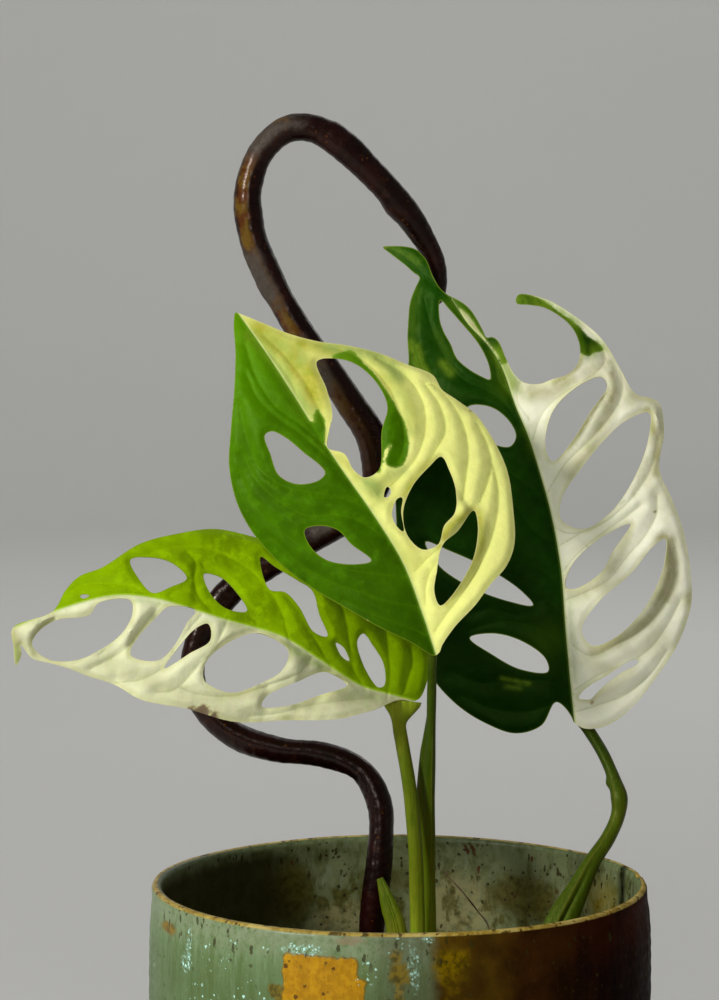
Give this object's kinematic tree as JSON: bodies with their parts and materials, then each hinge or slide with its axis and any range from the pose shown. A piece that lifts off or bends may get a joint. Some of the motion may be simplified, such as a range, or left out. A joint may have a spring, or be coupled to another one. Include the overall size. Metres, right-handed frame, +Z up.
{
  "type": "potted monstera adansonii",
  "caption": "Variegated Monstera adansonii, a climbing house plant with holed leaves, in a round glazed ceramic pot with a looped clay support behind it.",
  "frame": {"origin": "centre of the pot's flat underside", "axes": "+Z up, +X to the right and -Y to the front of the plant, where its leaves face"},
  "size_m": [0.2194, 0.1626, 0.3922],
  "materials": {
    "pot_glaze": "glossy ceramic glaze in sage green with rust, ochre and pale blue flecks",
    "potting_mix": "crumbly, matt",
    "green_stem": "satin plant skin",
    "variegated_leaf": "satin leaf, half green and half cream or white",
    "brown_clay_glaze": "glossy dark brown clay glaze",
    "dry_fibre": "dry plant fibre, matt"
  },
  "bodies": {
    "root": {"pot": "pot_glaze", "soil": "potting_mix", "stems": "green_stem", "leaf_centre": "variegated_leaf", "leaf_left": "variegated_leaf", "leaf_right": "variegated_leaf", "support_loop": "brown_clay_glaze", "dry_fibre": "dry_fibre"}
  },
  "joints": []
}
